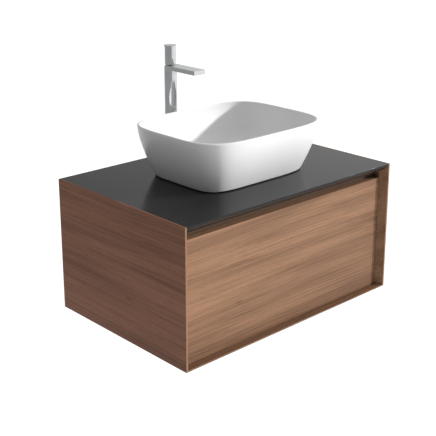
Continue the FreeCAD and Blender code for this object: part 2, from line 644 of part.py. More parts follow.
def trap():
    axis = (0, BASIN_Y)
    pipe_play = PIPE_OUTER + THREAD_PLAY
    collar_under = WASTE_END - COLLAR
    body_under = OUTLET_HEIGHT - TRAP_BELOW_OUTLET
    body_top = OUTLET_HEIGHT + TRAP_ABOVE_OUTLET
    roof_under = body_top - TRAP_ROOF
    neck_top = body_top + NECK_HEIGHT
    cup_under = BOTTOM + CUP_CLEARANCE
    cup_top = body_under + CUP_THREAD
    inside = TRAP_RADIUS - TRAP_WALL
    dip_end = OUTLET_HEIGHT - DIP
    pieces = {}
    collar = post(WASTE_OUTER - COLLAR_INSET, *axis, collar_under, WASTE_END)
    tail = post(PIPE_OUTER, *axis, dip_end, WASTE_END).fuse(collar)
    pieces["tailpiece"] = tail.cut(post(PIPE_INNER, *axis, dip_end, WASTE_END))
    pieces["waste_coupling_nut"] = slip_nut(WASTE_OUTER + NUT_WALL, WASTE_OUTER,
                                            point(*axis, collar_under - NUT_LIP),
                                            point(*axis, WASTE_END + COUPLING_THREAD))
    pieces["trap_inlet_nut"] = slip_nut(NECK_RADIUS + NUT_WALL, NECK_RADIUS,
                                        point(*axis, neck_top + INLET_NUT_GAP + NUT_LIP),
                                        point(*axis, body_top))

    stub_inside = point(0, BASIN_Y + inside - BORE_OVERLAP, OUTLET_HEIGHT)
    stub_step = point(0, BASIN_Y + TRAP_RADIUS + STUB_LENGTH, OUTLET_HEIGHT)
    stub_end = stub_step.add(point(0, STUB_SOCKET, 0))
    body = post(TRAP_RADIUS, *axis, body_under, body_top)
    body = body.fuse(post(NECK_RADIUS, *axis, body_top, neck_top))
    body = body.fuse(rod(STUB_RADIUS, point(0, BASIN_Y, OUTLET_HEIGHT), stub_end))
    pieces["trap_body"] = cut_all(body, [post(inside, *axis, body_under, roof_under),
                                         post(pipe_play, *axis, roof_under, neck_top),
                                         rod(PIPE_INNER, stub_inside, stub_step),
                                         rod(pipe_play, stub_step, stub_end)])

    cup = post(TRAP_RADIUS + TRAP_WALL, *axis, cup_under, cup_top)
    rounded = [edge for edge in cup.Edges if edge.BoundBox.ZMax < cup_under + FLAT_EDGE]
    cup = cup.makeFillet(CUP_ROUND, rounded)
    pieces["trap_cup"] = cut_all(cup, [post(inside, *axis, cup_under + CUP_FLOOR, body_under),
                                       post(TRAP_RADIUS + THREAD_PLAY, *axis, body_under, cup_top)])

    pieces["trap_outlet_nut"] = slip_nut(STUB_RADIUS + NUT_WALL, STUB_RADIUS,
                                         stub_end.add(point(0, NUT_LIP, 0)),
                                         stub_end.sub(point(0, STUB_THREAD, 0)))
    wall = point(0, 0, OUTLET_HEIGHT)
    pipe_end = point(0, SPIGOT_LENGTH, OUTLET_HEIGHT)
    pipe = rod(PIPE_OUTER, stub_step, wall).fuse(rod(SPIGOT_OUTER, wall, pipe_end))
    pieces["outlet_pipe"] = pipe.cut(rod(PIPE_INNER, stub_step, pipe_end))
    plate_face = point(0, -ESCUTCHEON, OUTLET_HEIGHT)
    collar_face = point(0, -ESCUTCHEON_COLLAR, OUTLET_HEIGHT)
    dish = rod(ESCUTCHEON_RADIUS, plate_face, wall).fuse(rod(PIPE_OUTER + NUT_WALL, collar_face, plate_face))
    pieces["wall_escutcheon"] = dish.cut(rod(pipe_play, collar_face, wall))
    return pieces


# ---------------------------------------------------------------- mixer

def spout():
    """Band round the top of the column, and the flat bar that carries the water forwards."""
    axis = (TAP_X, TAP_Y)
    half = BAR_WIDTH / 2
    aerator_y = BAR_TIP + AERATOR_FROM_TIP
    band = post(COLUMN_RADIUS, *axis, BAND_UNDER, BAND_TOP)
    bar = box(TAP_X - half, TAP_X + half, BAR_TIP, TAP_Y, BAR_UNDER, BAR_TOP)
    bar = bar.cut(post(COLUMN_RADIUS, *axis, BAND_TOP, BAR_TOP))
    channel_under = BAR_UNDER + BAR_WALL
    channel_top = BAR_TOP - BAR_WALL - BAR_ABOVE_BAND / 2
    waterway = box(TAP_X - WATERWAY_HALF, TAP_X + WATERWAY_HALF, aerator_y - WATERWAY_HALF, TAP_Y,
                   channel_under, channel_top)
    seat = BAR_UNDER + AERATOR_HEIGHT
    bore = post(CARTRIDGE_RADIUS + CARTRIDGE_PLAY, *axis, BAND_UNDER, BAND_TOP)
    mouth = post(AERATOR_RADIUS, TAP_X, aerator_y, BAR_UNDER, seat)
    throat = post(AERATOR_RADIUS - AERATOR_LEDGE, TAP_X, aerator_y, seat, channel_under)
    return cut_all(band.fuse(bar), [bore, waterway, mouth, throat])


def aerator():
    y = BAR_TIP + AERATOR_FROM_TIP
    seat = BAR_UNDER + AERATOR_HEIGHT
    disc = post(AERATOR_RADIUS - AERATOR_PLAY, TAP_X, y, BAR_UNDER, seat)
    for radius, holes in AERATOR_RINGS:
        for hole in range(holes):
            turn = 2 * math.pi * hole / holes
            hole_x = TAP_X + radius * math.cos(turn)
            hole_y = y + radius * math.sin(turn)
            disc = disc.cut(post(AERATOR_HOLE, hole_x, hole_y, BAR_UNDER, seat))
    return disc


def mixer_body():
    axis = (TAP_X, TAP_Y)
    foot = HEIGHT + BASE_RING_HEIGHT
    column = tube(COLUMN_RADIUS, COLUMN_RADIUS - COLUMN_WALL, *axis, foot, BAND_UNDER)
    column = column.cut(post(CARTRIDGE_RADIUS + CARTRIDGE_PLAY, *axis, CARTRIDGE_UNDER, BAND_UNDER))
    cartridge = post(CARTRIDGE_RADIUS, *axis, CARTRIDGE_UNDER, CARTRIDGE_TOP)
    cartridge = cartridge.cut(post(SWIVEL_RADIUS + RUNNING_PLAY, *axis, SWIVEL_SEAT, CARTRIDGE_TOP))
    shank = post(SHANK_RADIUS, *axis, SHANK_END, foot)
    for side in (-1, 1):
        inlet_x = TAP_X + side * INLET_SPACING / 2
        shank = shank.cut(post(INLET_RADIUS, inlet_x, TAP_Y, SHANK_END, SHANK_END + INLET_DEPTH))
    rubber_under = TOP_UNDER - TAP_RUBBER
    steel_under = rubber_under - TAP_STEEL
    nut_under = steel_under - TAP_NUT_HEIGHT
    around = SHANK_RADIUS + THREAD_PLAY
    nut = hexagon(TAP_NUT_RADIUS, *axis, nut_under, steel_under)
    return {
        "tap_column": column,
        "spout": spout(),
        "aerator": aerator(),
        "cartridge_body": cartridge,
        "cartridge_nut": tube(CARTRIDGE_RADIUS, SWIVEL_RADIUS + SWIVEL_PLAY, *axis,
                              CARTRIDGE_TOP, CARTRIDGE_TOP + CARTRIDGE_NUT),
        "tap_base_ring": tube(BASE_RING_RADIUS, around, *axis, HEIGHT, foot),
        "tap_shank": shank,
        "tap_rubber_washer": tube(TAP_NUT_RADIUS + RUBBER_OVERHANG, around, *axis, rubber_under, TOP_UNDER),
        "tap_steel_washer": tube(TAP_NUT_RADIUS, around, *axis, steel_under, rubber_under),
        "tap_nut": nut.cut(post(around, *axis, nut_under, steel_under)),
    }


def mixer_handle():
    axis = (TAP_X, TAP_Y)
    ear_half = SWIVEL_RADIUS - EAR_INSET
    ear_top = PIVOT_Z + EAR_ABOVE_PIVOT
    slot_half = LEVER_HALF_X + SLOT_PLAY
    slot_under = PIVOT_Z - SLOT_BELOW_PIVOT
    pin_start = point(TAP_X - ear_half, TAP_Y, PIVOT_Z)
    pin_end = point(TAP_X + ear_half, TAP_Y, PIVOT_Z)
    stem = post(SWIVEL_RADIUS, *axis, SWIVEL_SEAT + SWIVEL_END_GAP, BAND_TOP - STEM_BELOW_BAND)
    ears = box(TAP_X - ear_half, TAP_X + ear_half, TAP_Y - EAR_HALF_Y, TAP_Y + EAR_HALF_Y,
               slot_under, ear_top)
    slot = box(TAP_X - slot_half, TAP_X + slot_half, TAP_Y - SWIVEL_RADIUS, TAP_Y + SWIVEL_RADIUS,
               slot_under, ear_top)
    stem = cut_all(stem.fuse(ears), [slot, rod(PIN_RADIUS - PRESS, pin_start, pin_end)])

    cavity_top = PIVOT_Z + KNOB_CAVITY
    boss_top = cavity_top + LEVER_BOSS_LENGTH
    lever = box(TAP_X - LEVER_HALF_X, TAP_X + LEVER_HALF_X, TAP_Y - LEVER_HALF_Y, TAP_Y + LEVER_HALF_Y,
                PIVOT_Z - LEVER_HALF_Y, cavity_top)
    lever = lever.fuse(post(LEVER_BOSS, *axis, cavity_top - LEVER_OVERLAP, boss_top))
    lever = lever.cut(rod(PIN_RADIUS + RUNNING_PLAY, pin_start, pin_end))

    grub_z = cavity_top + GRUB_UP
    grub_start = point(TAP_X, TAP_Y + LEVER_BOSS, grub_z)
    grub_end = point(TAP_X, TAP_Y + HANDLE_RADIUS - GRUB_SUNK, grub_z)
    well_end = point(TAP_X, TAP_Y + HANDLE_RADIUS, grub_z)
    spigot_under = KNOB_TOP - CAP_SPIGOT
    knob = post(HANDLE_RADIUS, *axis, PIVOT_Z, KNOB_TOP)
    knob = cut_all(knob, [post(HANDLE_RADIUS - KNOB_WALL, *axis, PIVOT_Z, cavity_top),
                          post(LEVER_BOSS - PRESS, *axis, cavity_top, boss_top),
                          post(CAP_SPIGOT_RADIUS + CAP_PLAY, *axis, spigot_under, KNOB_TOP),
                          rod(PIN_RADIUS - PRESS, grub_start, well_end)])
    cap = post(CAP_RADIUS, *axis, KNOB_TOP, KNOB_TOP + CAP_HEIGHT)
    rims = [edge for edge in cap.Edges if edge.BoundBox.ZMin > KNOB_TOP + CAP_HEIGHT / 2]
    cap = cap.makeChamfer(CAP_CHAMFER, [edge for edge in rims if edge.BoundBox.ZLength < FLAT_EDGE])
    cap = cap.fuse(post(CAP_SPIGOT_RADIUS, *axis, spigot_under, KNOB_TOP))
    return {
        "swivel_stem": stem,
        "handle_pivot_pin": rod(PIN_RADIUS, pin_start, pin_end),
        "handle_lever": lever,
        "handle_knob": knob,
        "handle_cap": cap,
        "handle_grub_screw": rod(PIN_RADIUS, grub_start, grub_end),
    }


# ---------------------------------------------------------------- all the pieces

def write_parts():
    pieces = {"vessel_basin": vessel_basin(), "basin_seal": basin_seal()}
    for make in (cabinet, runners, drawer, waste, trap, mixer_body, mixer_handle):
        pieces.update(make())
    os.makedirs("parts", exist_ok=True)
    for name, shape in pieces.items():
        shape.translate(point(0, 0, -WALL_SCREW_HEIGHT))
        shape.exportStep("parts/" + name + ".step")
    print(len(pieces), "pieces")


write_parts()
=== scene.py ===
import json
import math

import bmesh
import bpy
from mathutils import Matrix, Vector


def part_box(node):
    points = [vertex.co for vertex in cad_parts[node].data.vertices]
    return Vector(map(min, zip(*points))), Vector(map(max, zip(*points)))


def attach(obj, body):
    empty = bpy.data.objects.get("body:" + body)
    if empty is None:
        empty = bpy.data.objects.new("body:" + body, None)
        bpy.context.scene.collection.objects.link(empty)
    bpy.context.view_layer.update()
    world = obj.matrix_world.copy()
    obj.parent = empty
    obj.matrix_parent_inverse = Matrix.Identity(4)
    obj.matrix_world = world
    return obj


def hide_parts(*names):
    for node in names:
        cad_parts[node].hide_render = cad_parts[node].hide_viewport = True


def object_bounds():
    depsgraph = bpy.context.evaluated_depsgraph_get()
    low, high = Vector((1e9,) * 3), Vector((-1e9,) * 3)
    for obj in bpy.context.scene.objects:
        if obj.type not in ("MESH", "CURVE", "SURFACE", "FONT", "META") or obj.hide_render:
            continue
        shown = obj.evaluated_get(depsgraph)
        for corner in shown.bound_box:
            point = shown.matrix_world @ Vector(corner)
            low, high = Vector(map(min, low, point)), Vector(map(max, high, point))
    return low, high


# Looks of the wall-hung vanity: veneer, worktop, glazed basin, chrome mixer, light, floor and camera.
# Metres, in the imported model's frame.  Each piece is made from its CAD node's own mesh or box.

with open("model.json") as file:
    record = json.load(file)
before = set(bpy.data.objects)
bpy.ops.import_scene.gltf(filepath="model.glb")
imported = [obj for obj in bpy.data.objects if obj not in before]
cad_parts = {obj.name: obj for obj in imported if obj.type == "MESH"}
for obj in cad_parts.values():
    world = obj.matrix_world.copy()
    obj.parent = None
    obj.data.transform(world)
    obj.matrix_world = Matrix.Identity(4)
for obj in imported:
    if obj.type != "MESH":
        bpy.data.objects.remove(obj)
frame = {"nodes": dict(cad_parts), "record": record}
CAD_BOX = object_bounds()
BODY_OF = {}
for body, members in frame["record"]["behaviour"]["bodies"].items():
    for member in members:
        BODY_OF[member] = body
SLOT_OF = {row["node"]: row["material_slot"] for row in frame["record"]["subparts"]}

MM = 0.001


# ---------------------------------------------------------------- meshes

WELD = 0.002 * MM                # vertices nearer than this are joined
FLAT = math.radians(0.5)         # faces that meet at less than this are joined
SHARP = math.radians(30)         # edges that turn by more than this are sharp
ROUND_SEGMENTS = 2
BIG_FACE_WEIGHT = 100            # the flat faces' normals win over the rounded edges'


def add_piece(shape, name, node, *materials):
    """New object from a bmesh, standing for its CAD node and riding on the same body."""
    data = bpy.data.meshes.new(node + "_mesh")
    shape.to_mesh(data)
    shape.free()
    data.shade_smooth()
    data.set_sharp_from_angle(angle=SHARP)
    for material in materials:
        data.materials.append(material)
    piece = bpy.data.objects.new(name, data)
    bpy.context.scene.collection.objects.link(piece)
    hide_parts(node)
    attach(piece, BODY_OF[node])
    return piece


def softened(node, width, material, shortest=0.0, gets_band_and_highlight=None, band_and_highlight=None):
    """The CAD node's mesh with its sharp edges rounded by width.  Edges under shortest stay sharp.
    Faces that pass the given test get the second material: an edge band, whose lighter tone is a painted
    highlight."""
    shape = bmesh.new()
    shape.from_mesh(frame["nodes"][node].data)
    bmesh.ops.remove_doubles(shape, verts=shape.verts, dist=WELD)
    bmesh.ops.dissolve_limit(shape, angle_limit=FLAT, verts=shape.verts, edges=shape.edges)
    for face in shape.faces:
        face.material_index = 1 if gets_band_and_highlight and gets_band_and_highlight(face) else 0
    sharp = []
    for edge in shape.edges:
        if edge.is_manifold and edge.calc_face_angle() > SHARP and edge.calc_length() > shortest:
            sharp.append(edge)
    bmesh.ops.bevel(shape, geom=sharp, offset=width, offset_type="OFFSET", segments=ROUND_SEGMENTS,
                    profile=0.5, affect="EDGES", clamp_overlap=False, material=-1)
    low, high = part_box(node)
    for vert in shape.verts:
        vert.co = [min(max(value, least), most) for value, least, most in zip(vert.co, low, high)]
    materials = [material, band_and_highlight] if gets_band_and_highlight else [material]
    piece = add_piece(shape, node + "_detailed", node, *materials)
    flat_faces = piece.modifiers.new("flat_faces", "WEIGHTED_NORMAL")
    flat_faces.keep_sharp = True
    flat_faces.weight = BIG_FACE_WEIGHT


# ---------------------------------------------------------------- shader nodes

NOISE_RANGE = (0.3, 0.7)         # where most of a noise's values are
WHITE = (1.0, 1.0, 1.0)
MIDDLE_GREY = (0.5, 0.5, 0.5)
BLACK = (0.0, 0.0, 0.0)


class Shader:
    """The nodes of one material or world, and short ways to add to them."""

    def __init__(self, owner, surface, **sockets):
        owner.use_nodes = True
        self.owner = owner
        self.tree = owner.node_tree
        self.surface = self.tree.nodes[surface]
        for socket, value in sockets.items():
            self.surface.inputs[socket.replace("_", " ")].default_value = value

    def add(self, kind, **settings):
        node = self.tree.nodes.new(kind)
        for setting, value in settings.items():
            setattr(node, setting, value)
        return node

    def feed(self, node, socket, value):
        """Links an output to a socket, or sets the socket to a plain value."""
        if isinstance(value, bpy.types.NodeSocket):
            self.tree.links.new(value, node.inputs[socket])
        else:
            node.inputs[socket].default_value = value

    def place(self, kind="Object"):
        return self.add("ShaderNodeTexCoord").outputs[kind]

    def noise(self, vector, scale=1.0, detail=3.0, roughness=0.5, output="Fac"):
        node = self.add("ShaderNodeTexNoise")
        self.feed(node, "Vector", vector)
        self.feed(node, "Scale", scale)
        self.feed(node, "Detail", detail)
        self.feed(node, "Roughness", roughness)
        return node.outputs[output]

    def cells(self, vector, scale=1.0):
        node = self.add("ShaderNodeTexVoronoi")
        self.feed(node, "Vector", vector)
        self.feed(node, "Scale", scale)
        return node.outputs["Distance"]

    def vectors(self, operation, first, second, output="Vector"):
        node = self.add("ShaderNodeVectorMath", operation=operation)
        self.feed(node, 0, first)
        self.feed(node, 1, second)
        return node.outputs[output]

    def numbers(self, operation, first, second):
        node = self.add("ShaderNodeMath", operation=operation)
        self.feed(node, 0, first)
        self.feed(node, 1, second)
        return node.outputs[0]

    def sum(self, first, second):
        return self.numbers("ADD", first, second)

    def difference(self, first, second):
        return self.numbers("SUBTRACT", first, second)

    def product(self, first, second):
        return self.numbers("MULTIPLY", first, second)

    def level(self, value, low, high, to_low=0.0, to_high=1.0):
        """Rescales a value from one range to another, and keeps it inside."""
        node = self.add("ShaderNodeMapRange")
        for socket, number in zip(range(5), (value, low, high, to_low, to_high)):
            self.feed(node, socket, number)
        return node.outputs[0]

    def ramp(self, value, stops):
        """Colour from a value, through (place, colour) stops."""
        stops = list(stops)
        node = self.add("ShaderNodeValToRGB")
        elements = node.color_ramp.elements
        while len(elements) < len(stops):
            elements.new(0.5)
        for element, (position, colour) in zip(elements, stops):
            element.position = position
            element.color = (*colour, 1.0)
        self.feed(node, "Fac", value)
        return node.outputs["Color"]

    def tint(self, noise, low, high):
        """Colour from a noise, from low to high."""
        return self.ramp(noise, zip(NOISE_RANGE, (low, high)))

    def mix(self, share, first, second):
        """Colour from first to second, which is plain red, green and blue."""
        node = self.add("ShaderNodeMix", data_type="RGBA")
        self.feed(node, 0, share)
        self.feed(node, 6, first)
        self.feed(node, 7, (*second, 1.0))
        return node.outputs[2]

    def bump(self, height, distance):
        """Raises the surface by height times distance, in metres."""
        node = self.add("ShaderNodeBump")
        self.feed(node, "Height", height)
        self.feed(node, "Distance", distance)
        self.feed(self.surface, "Normal", node.outputs["Normal"])

    def colour(self, value):
        self.feed(self.surface, "Base Color", value)

    def roughness(self, value):
        self.feed(self.surface, "Roughness", value)


def new_material(name, **sockets):
    return Shader(bpy.data.materials.new(name), "Principled BSDF", **sockets)


def along(grain, lengthwise, crosswise):
    """Scale vector that is lengthwise on the grain's axis and crosswise on the other two."""
    return tuple(lengthwise if axis == grain else crosswise for axis in range(3))


def shade(colour, share):
    return [part * share for part in colour]


# ---------------------------------------------------------------- wood

ALONG_X, ALONG_Y, ALONG_Z = range(3)

# Scale of each layer of the grain, along it and across it.
WANDER = (1.3, 4.0)
BANDS = (1.0, 18.0)
STREAKS = (2.0, 280.0)
PORES = (55.0, 1500.0)
KNOTS = (2.4, 9.0)
BEND = 0.03                      # how far the grain strays sideways

BAND_RANGE = (0.36, 0.62)        # values that go from dark to light
STREAK_RANGE = (0.34, 0.66)
PORE_RANGE = (0.60, 0.68)        # values that open a pore
KNOT_RANGE = (0.015, 0.05)       # distance from a knot's middle
LAYER_SHARE = 0.5                # bands and streaks count equally
TONE_STOPS = (0.1, 0.5, 0.9)     # dark, middle and light wood
PORE_SHADE = 0.45                # colour, as a share of the dark wood's
KNOT_SHADE = 0.4
PORE_COVER = 0.45                # how strongly it covers the wood
KNOT_COVER = 0.75
STREAK_RELIEF = 0.4              # as a share of a pore's depth
WOOD_RELIEF = 0.12 * MM
WOOD_ROUGHNESS = (0.64, 0.52)


def veneer(name, grain, light, dark, shift=0.0):
    """Open-pored wood: broad bands, fine streaks, pores and a few small knots."""
    wood = new_material(name, Specular_IOR_Level=0.18)
    base = wood.vectors("ADD", wood.place(), (shift, shift, shift))

    def scaled(vector, scales):
        return wood.vectors("MULTIPLY", vector, along(grain, *scales))

    wander = wood.noise(scaled(base, WANDER), detail=2.0, output="Color")
    centred = wood.vectors("SUBTRACT", wander, MIDDLE_GREY)
    fibre = wood.vectors("ADD", base, scaled(centred, (0.0, BEND)))
    bands = wood.level(wood.noise(scaled(fibre, BANDS), detail=2.0), *BAND_RANGE)
    streaks = wood.noise(scaled(fibre, STREAKS), detail=4.0, roughness=0.62)
    pores = wood.level(wood.noise(scaled(fibre, PORES), detail=2.0), *PORE_RANGE)
    knots = wood.level(wood.cells(scaled(fibre, KNOTS)), *KNOT_RANGE, 1.0, 0.0)
    streaked = wood.level(streaks, *STREAK_RANGE)
    tone = wood.sum(wood.product(bands, LAYER_SHARE), wood.product(streaked, LAYER_SHARE))
    middle = [(a + b) / 2 for a, b in zip(light, dark)]
    colour = wood.ramp(tone, zip(TONE_STOPS, (dark, middle, light)))
    colour = wood.mix(wood.product(pores, PORE_COVER), colour, shade(dark, PORE_SHADE))
    colour = wood.mix(wood.product(knots, KNOT_COVER), colour, shade(dark, KNOT_SHADE))
    wood.colour(colour)
    wood.roughness(wood.level(streaks, *NOISE_RANGE, *WOOD_ROUGHNESS))
    wood.bump(wood.difference(wood.product(streaks, STREAK_RELIEF), pores), WOOD_RELIEF)
    return wood.owner


LIGHT_WOOD = (0.325, 0.177, 0.100)
DARK_WOOD = (0.148, 0.076, 0.042)
# the left side panel's walnut: a darker, warmer copy of the front's, painted shade for its unlit side
LEFT_PAINTED_SHADE_LIGHT = (0.305, 0.142, 0.085)
LEFT_PAINTED_SHADE_DARK = (0.15, 0.066, 0.040)
# front edges of the side panels: an edge band with upright grain, lighter than the faces as a painted
# highlight of the lit edge
EDGE_PAINTED_HIGHLIGHT_LIGHT = (0.34, 0.19, 0.107)
EDGE_PAINTED_HIGHLIGHT_DARK = (0.26, 0.145, 0.082)
SHADED_LIGHT = (0.10, 0.057, 0.033)
SHADED_DARK = (0.06, 0.033, 0.019)
BOARD_LIGHT = (0.20, 0.12, 0.075)
BOARD_DARK = (0.12, 0.07, 0.04)
BEECH_LIGHT = (0.62, 0.44, 0.28)
BEECH_DARK = (0.50, 0.34, 0.20)


# ---------------------------------------------------------------- other materials

LAMINATE_LOW = (0.019, 0.019, 0.0195)
LAMINATE_HIGH = (0.023, 0.023, 0.0235)
LAMINATE_SPECK = (0.034, 0.034, 0.035)
LAMINATE_ROUGHNESS = (0.13, 0.18)
LAMINATE_RELIEF = 0.004 * MM
SPECK_RANGE = (0.62, 0.72)
SPECK_COVER = 0.4

LINEN_LENGTHWISE = 60.0          # scale along a thread
LINEN_RANGE = (1.2, 1.8)         # three crossed noises added up
LINEN_STOPS = (0.2, 1.0)
LINEN_ROUGHNESS = (0.5, 0.62)
LINEN_RELIEF = 0.05 * MM
CLOUD_SHARE = 0.5

GLAZE_RANGE = (0.2, 0.8)
GLAZE_COLOURS = ((0.828, 0.828, 0.826), (0.842, 0.842, 0.841))
GLAZE_ROUGHNESS = (0.28, 0.32)
GLAZE_RELIEF = 0.12 * MM
PINHOLE_RANGE = (0.04, 0.09)     # distance from a pinhole's middle
WAVE_SHARE = 0.9                 # of the relief
PINHOLE_SHARE = 0.02

BRUSH_STRETCH = 0.2              # polishing marks are drawn out upwards
MARK_SHARE = 0.5                 # marks and smears count equally


def satin_laminate():
    """Dark grey worktop with a faint mottle and a fine orange-peel surface."""
    top = new_material("worktop_grey", Specular_IOR_Level=0.5, IOR=1.22)
    place = top.place()
    mottle = top.noise(place, scale=14.0, detail=4.0)
    speck = top.noise(place, scale=900.0, detail=1.0)
    peel = top.noise(place, scale=500.0, detail=2.0)
    colour = top.tint(mottle, LAMINATE_LOW, LAMINATE_HIGH)
    top.colour(top.mix(top.level(speck, *SPECK_RANGE, 0.0, SPECK_COVER), colour, LAMINATE_SPECK))
    top.roughness(top.level(mottle, *NOISE_RANGE, *LAMINATE_ROUGHNESS))
    top.bump(peel, LAMINATE_RELIEF)
    return top.owner


def faced_board(name, low, high, weave):
    """Resin-faced board with a fine linen print."""
    board = new_material(name, Specular_IOR_Level=0.4)
    place = board.place()
    threads = []
    for axis in (ALONG_X, ALONG_Y, ALONG_Z):
        stretched = board.vectors("MULTIPLY", place, along(axis, LINEN_LENGTHWISE, weave))
        threads.append(board.noise(stretched, detail=1.0))
    linen = board.sum(board.sum(threads[0], threads[1]), threads[2])
    clouds = board.noise(place, scale=9.0, detail=3.0)
    tone = board.sum(board.level(linen, *LINEN_RANGE), board.level(clouds, *NOISE_RANGE, 0.0, CLOUD_SHARE))
    board.colour(board.ramp(tone, zip(LINEN_STOPS, (low, high))))
    board.roughness(board.level(linen, *LINEN_RANGE, *LINEN_ROUGHNESS))
    board.bump(linen, LINEN_RELIEF)
    return board.owner


def glaze():
    """White glazed ceramic: nearly flawless, with a slow waviness and fine, shallow pinholes."""
    white = new_material("ceramic_white", Coat_Weight=0.15, Coat_Roughness=0.12, Specular_IOR_Level=0.3)
    place = white.place()
    waves = white.noise(place, scale=11.0, detail=2.0)
    pinholes = white.level(white.cells(place, scale=260.0), *PINHOLE_RANGE)
    white.colour(white.ramp(waves, zip(GLAZE_RANGE, GLAZE_COLOURS)))
    white.roughness(white.level(waves, *GLAZE_RANGE, *GLAZE_ROUGHNESS))
    height = white.sum(white.product(waves, WAVE_SHARE), white.product(pinholes, PINHOLE_SHARE))
    white.bump(height, GLAZE_RELIEF)
    return white.owner


def metal(name, low, high, shine, brush, depth):
    """Metal with its tone and roughness varied by fine polishing marks."""
    plate = new_material(name, Metallic=1.0)
    place = plate.place()
    stretched = plate.vectors("MULTIPLY", place, along(ALONG_Z, brush * BRUSH_STRETCH, brush))
    marks = plate.noise(stretched, detail=4.0, roughness=0.6)
    smears = plate.noise(place, scale=35.0, detail=3.0)
    plate.colour(plate.tint(smears, low, high))
    tone = plate.sum(plate.product(marks, MARK_SHARE), plate.product(smears, MARK_SHARE))
    plate.roughness(plate.level(tone, *NOISE_RANGE, *shine))
    plate.bump(marks, depth)
    return plate.owner


def moulded(name, low, high, shine, grain, depth):
    """Rubber or plastic with a fine moulded grain."""
    skin = new_material(name, Specular_IOR_Level=0.4)
    place = skin.place()
    grains = skin.noise(place, scale=grain, detail=3.0)
    clouds = skin.noise(place, scale=40.0, detail=2.0)
    skin.colour(skin.tint(clouds, low, high))
    skin.roughness(skin.level(grains, *NOISE_RANGE, *shine))
    skin.bump(grains, depth)
    return skin.owner


walnut_left_painted_shade = veneer("walnut_left_painted_shade", ALONG_Y, LEFT_PAINTED_SHADE_LIGHT, LEFT_PAINTED_SHADE_DARK, shift=1.7)
walnut_right = veneer("walnut_right", ALONG_Y, LIGHT_WOOD, DARK_WOOD, shift=4.3)
walnut_shaded = veneer("walnut_shaded", ALONG_X, SHADED_LIGHT, SHADED_DARK, shift=2.3)
walnut_edge_painted_highlight = veneer("walnut_edge_painted_highlight", ALONG_Z, EDGE_PAINTED_HIGHLIGHT_LIGHT, EDGE_PAINTED_HIGHLIGHT_DARK, shift=3.1)
MATERIALS = {
    "walnut": veneer("walnut_across", ALONG_X, LIGHT_WOOD, DARK_WOOD),
    "worktop_grey": satin_laminate(),
    "carcass_board": veneer("carcass_board", ALONG_X, BOARD_LIGHT, BOARD_DARK, shift=5.0),
    "drawer_board": faced_board("drawer_board", low=(0.22, 0.215, 0.21), high=(0.31, 0.305, 0.30),
                                weave=700.0),
    "beech": veneer("beech", ALONG_X, BEECH_LIGHT, BEECH_DARK, shift=7.0),
    "zinc_steel": metal("zinc_steel", low=(0.50, 0.51, 0.52), high=(0.62, 0.62, 0.63), shine=(0.28, 0.42),
                        brush=300.0, depth=0.02 * MM),
    "ceramic_white": glaze(),
    "silicone": moulded("silicone", low=(0.012, 0.012, 0.012), high=(0.02, 0.02, 0.02), shine=(0.35, 0.5),
                        grain=400.0, depth=0.03 * MM),
    "black_rubber": moulded("black_rubber", low=(0.016, 0.016, 0.017), high=(0.028, 0.028, 0.028),
                            shine=(0.6, 0.75), grain=700.0, depth=0.04 * MM),
    "chrome": metal("chrome", low=(0.55, 0.56, 0.57), high=(0.60, 0.61, 0.62), shine=(0.05, 0.10),
                    brush=240.0, depth=0.004 * MM),
    "brass_part": metal("brass_part", low=(0.60, 0.43, 0.19), high=(0.70, 0.52, 0.25), shine=(0.24, 0.36),
                        brush=420.0, depth=0.02 * MM),
    "plastic_part": moulded("plastic_part", low=(0.72, 0.72, 0.70), high=(0.80, 0.80, 0.78),
                            shine=(0.38, 0.5), grain=500.0, depth=0.03 * MM),
}


# ---------------------------------------------------------------- basin

RIM_POWER = 4.3                  # superellipse powers, from round (2) to square
FOOT_POWER = 5.6
FLOOR_POWER = 3.0
WALL_POWER = 1.42                # how much the wall bows outwards
FOOT_SHARE_X = 332.0 / 412.0     # foot's length as a share of the rim's
FOOT_SHARE_Y = 244.0 / 330.0     # foot's width as a share of the rim's
WALL = 7 * MM
FLOOR = 14 * MM
FLOOR_CURVE = 42 * MM            # floor's curve up into the wall
WASTE_HOLE = 23 * MM             # radius
HOLE_EDGE = 1 * MM               # top of the hole's wall, below the floor
RIM_ROUND = 3 * MM
FOOT_ROUND = 1.5 * MM
CENTRE_SHARE = 0.004             # first floor ring, just outside the hole
FLOOR_SPREAD = 1.3               # floor rings lie closer together near the hole
AROUND = 144                     # points round each ring

# Rings in each part of the basin.
FLOOR_RINGS = 8
CURVE_RINGS = 12
INSIDE_RINGS = 8
RIM_RINGS = 5
OUTSIDE_RINGS = 16
FOOT_RINGS = 4
UNDERSIDE_RINGS = 5


def quarter_turn(steps, first=1):
    return [math.pi / 2 * step / steps for step in range(first, steps + 1)]


def heights(start, end, steps):
    return [start + (end - start) * step / steps for step in range(1, steps + 1)]


